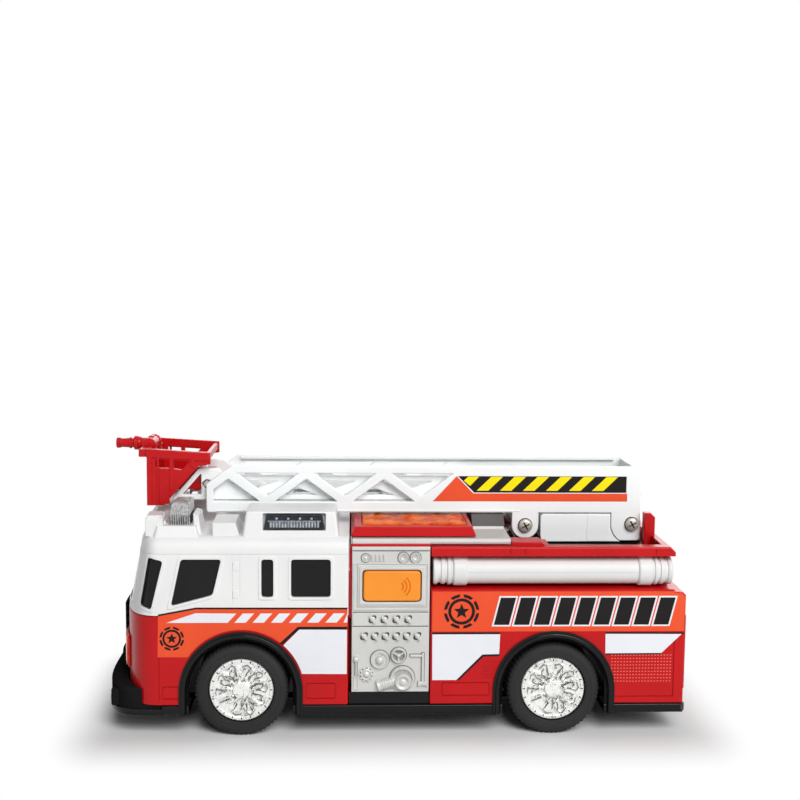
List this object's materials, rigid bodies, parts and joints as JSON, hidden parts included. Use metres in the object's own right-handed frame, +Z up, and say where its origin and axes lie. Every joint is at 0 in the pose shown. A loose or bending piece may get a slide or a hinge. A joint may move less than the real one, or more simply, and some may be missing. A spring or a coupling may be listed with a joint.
{
  "type": "toy fire engine",
  "caption": "Toy fire engine with rolling axles, a ladder that lifts and slides out, a rescue basket with a tilting water cannon, and a sound button.",
  "frame": {"origin": "middle of the bounding box at the ground, under the tyres", "axes": "+X runs along the engine to its rear, +Y to its right side, +Z up; the cab faces -X"},
  "size_m": [0.152, 0.0582, 0.0739],
  "materials": {
    "red_plastic": "glossy moulded",
    "white_plastic": "glossy moulded",
    "black_plastic": "glossy moulded",
    "steel": "bright",
    "tyre_black": "hard moulded",
    "chrome": "vacuum plated",
    "dark_window": "glossy moulded",
    "smoked_lens": "fluted",
    "clear_lens": "ribbed",
    "amber_lens": "smooth",
    "red_lens": "smooth",
    "silver_plastic": "silver grey",
    "orange_plastic": "embossed",
    "board": "coated board"
  },
  "bodies": {
    "body": {"body_shell": "red_plastic", "light_tray": "red_plastic", "cab_shell": "white_plastic", "hose_left": "white_plastic", "hose_right": "white_plastic", "ladder_turret": "white_plastic", "chassis": "black_plastic", "grille": "black_plastic", "turret_plate": "black_plastic", "battery_holder": "black_plastic", "battery_cover": "black_plastic", "speaker": "black_plastic", "switch_body": "black_plastic", "battery_cover_screw": "steel", "chassis_screw_front_left": "steel", "chassis_screw_front_right": "steel", "chassis_screw_rear_left": "steel", "chassis_screw_rear_right": "steel", "battery_cell_1": "steel", "battery_cell_2": "steel", "battery_cell_3": "steel", "cab_glazing": "dark_window", "side_light_lens_left": "smoked_lens", "side_light_lens_right": "smoked_lens", "beacon_lens_left": "clear_lens", "beacon_lens_right": "clear_lens", "deck_led": "clear_lens", "headlamp_left": "amber_lens", "headlamp_right": "amber_lens", "deck_light_lens": "amber_lens", "rear_lamp_left": "red_lens", "rear_lamp_right": "red_lens", "pump_module": "silver_plastic", "circuit_board": "board"},
    "front_axle": {"front_axle": "steel", "front_tyre_left": "tyre_black", "front_tyre_right": "tyre_black", "front_wheel_disc_left": "chrome", "front_wheel_disc_right": "chrome"},
    "rear_axle": {"rear_axle": "steel", "rear_tyre_left": "tyre_black", "rear_tyre_right": "tyre_black", "rear_wheel_disc_left": "chrome", "rear_wheel_disc_right": "chrome"},
    "outer_ladder": {"outer_ladder_left": "white_plastic", "outer_ladder_right": "white_plastic", "outer_ladder_bed": "white_plastic", "outer_ladder_end": "white_plastic", "ladder_pivot_screw_left": "steel", "ladder_pivot_screw_right": "steel", "ladder_tie_screw_left": "steel", "ladder_tie_screw_right": "steel"},
    "inner_ladder": {"inner_ladder": "white_plastic", "basket": "red_plastic", "basket_pin": "steel", "cannon_pin": "steel"},
    "cannon": {"water_cannon": "red_plastic"},
    "button": {"sound_button": "orange_plastic", "switch_plunger": "black_plastic"}
  },
  "joints": [
    {"name": "front_axle_roll", "type": "hinge", "parent": "body", "child": "front_axle", "pos_m": [-0.039, 0, 0.012], "axis": [0, 1, 0], "continuous": true},
    {"name": "rear_axle_roll", "type": "hinge", "parent": "body", "child": "rear_axle", "pos_m": [0.0412, 0, 0.012], "axis": [0, 1, 0], "continuous": true},
    {"name": "ladder_lift", "type": "hinge", "parent": "body", "child": "outer_ladder", "pos_m": [0.0643, 0, 0.052], "axis": [0, 1, 0], "range_deg": [0, 40]},
    {"name": "ladder_extend", "type": "slide", "parent": "outer_ladder", "child": "inner_ladder", "axis": [-1, 0, 0], "range_m": [0, 0.04]},
    {"name": "cannon_tilt", "type": "hinge", "parent": "inner_ladder", "child": "cannon", "pos_m": [-0.0654, 0, 0.072], "axis": [0, 1, 0], "range_deg": [-15, 35]},
    {"name": "button_press", "type": "slide", "parent": "body", "child": "button", "axis": [0, 1, 0], "range_m": [0, 0.0008], "stiffness_N_per_m": 300}
  ]
}
